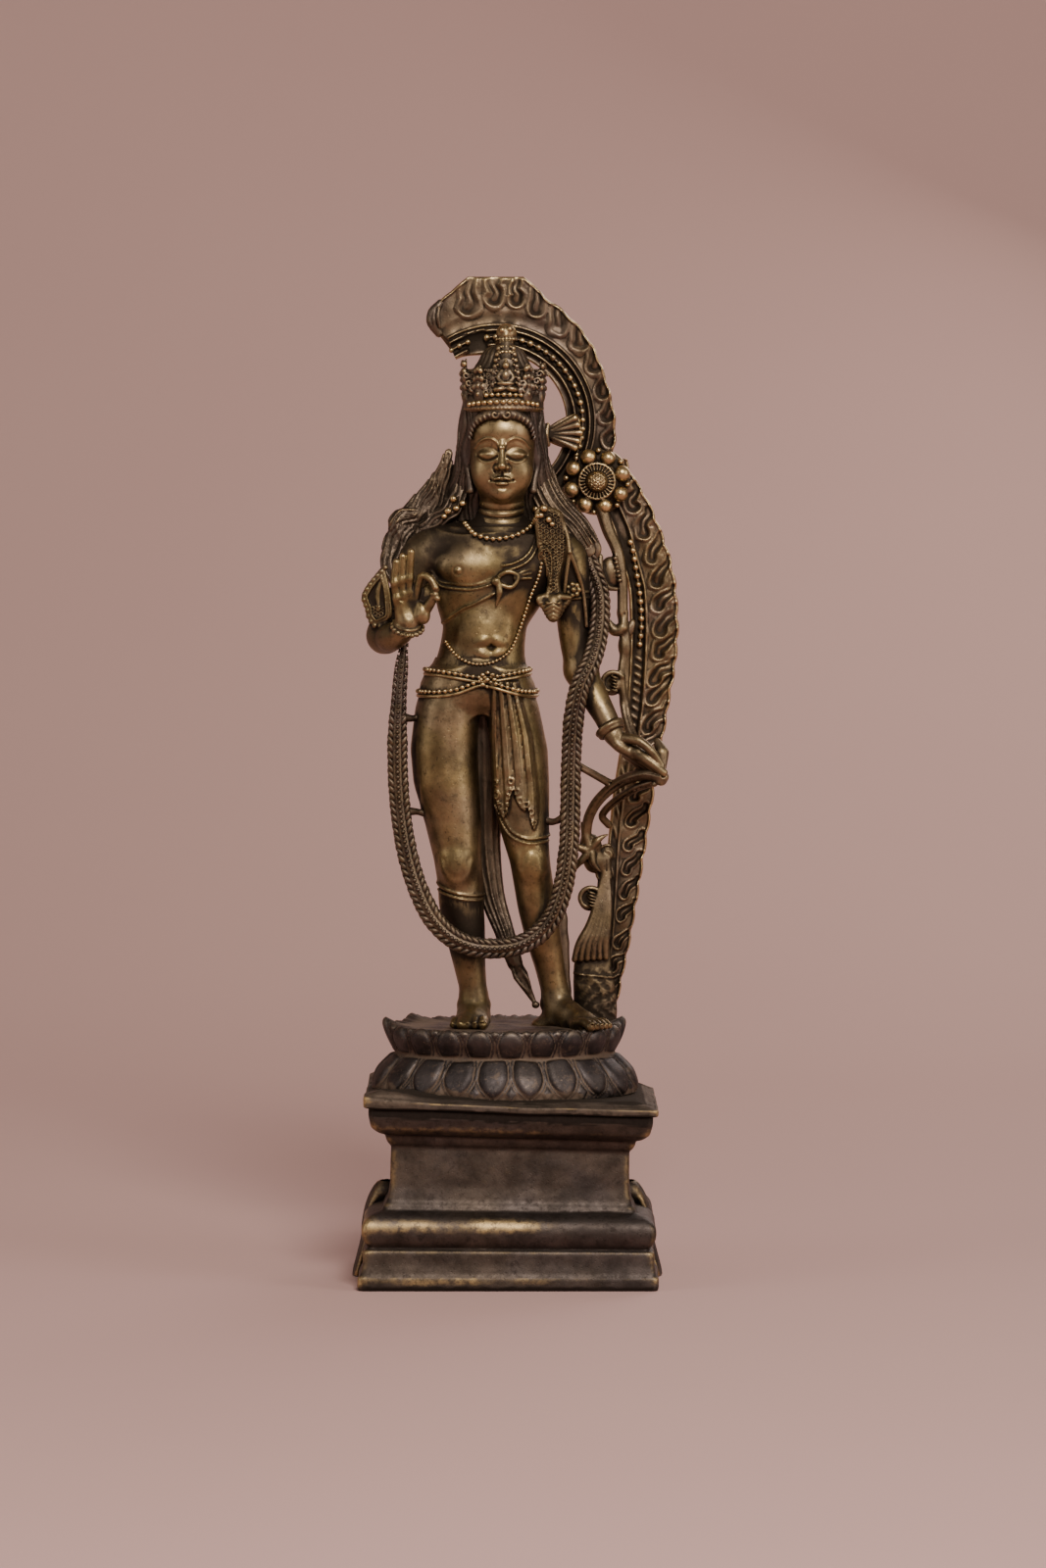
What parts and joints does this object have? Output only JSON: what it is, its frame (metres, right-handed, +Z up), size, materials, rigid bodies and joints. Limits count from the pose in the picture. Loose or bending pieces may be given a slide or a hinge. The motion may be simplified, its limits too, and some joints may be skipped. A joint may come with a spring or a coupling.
{
  "type": "standing avalokiteshvara figure",
  "caption": "Cast brass standing bodhisattva with garland, crown and broken flame aureole on a lotus, over a moulded plinth.",
  "frame": {"origin": "middle of the plinth's underside", "axes": "+Z up, +Y to the back: the figure faces -Y, and +X is to the right of someone who faces it"},
  "size_m": [0.13, 0.092, 0.395],
  "materials": {
    "figure_brass": "worn golden brass on the high places, brown-black patina in the hollows",
    "plinth_brass": "dark brown patinated brass with bright rubbed arrises"
  },
  "bodies": {
    "root": {"figure": "figure_brass", "plinth": "plinth_brass"}
  },
  "joints": []
}
